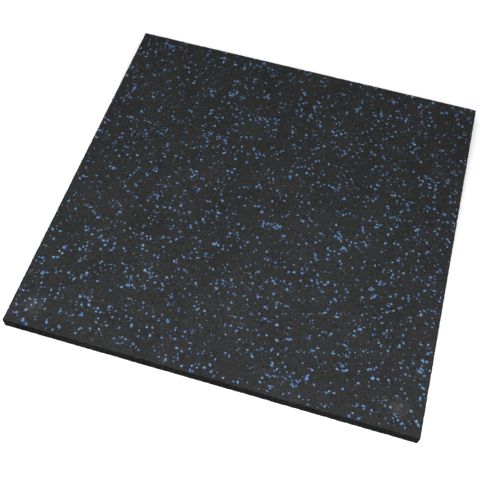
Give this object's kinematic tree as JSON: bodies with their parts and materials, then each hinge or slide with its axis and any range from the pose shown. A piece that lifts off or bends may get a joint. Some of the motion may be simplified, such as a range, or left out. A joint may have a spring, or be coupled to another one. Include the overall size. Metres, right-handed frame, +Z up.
{
  "type": "rubber floor tile",
  "caption": "Square flat floor tile of bonded black rubber granulate with blue flecks in its walking surface and plain butt edges.",
  "frame": {"origin": "centre of the underside", "axes": "+Z up through the thickness, from the underside to the flecked walking surface; +X along the front edge to the right; +Y from the front edge to the back edge"},
  "size_m": [0.5, 0.5, 0.016],
  "materials": {
    "black_granulate": "matte",
    "blue_fleck": "matte"
  },
  "bodies": {
    "root": {"rubber_tile": "black_granulate"}
  },
  "joints": []
}
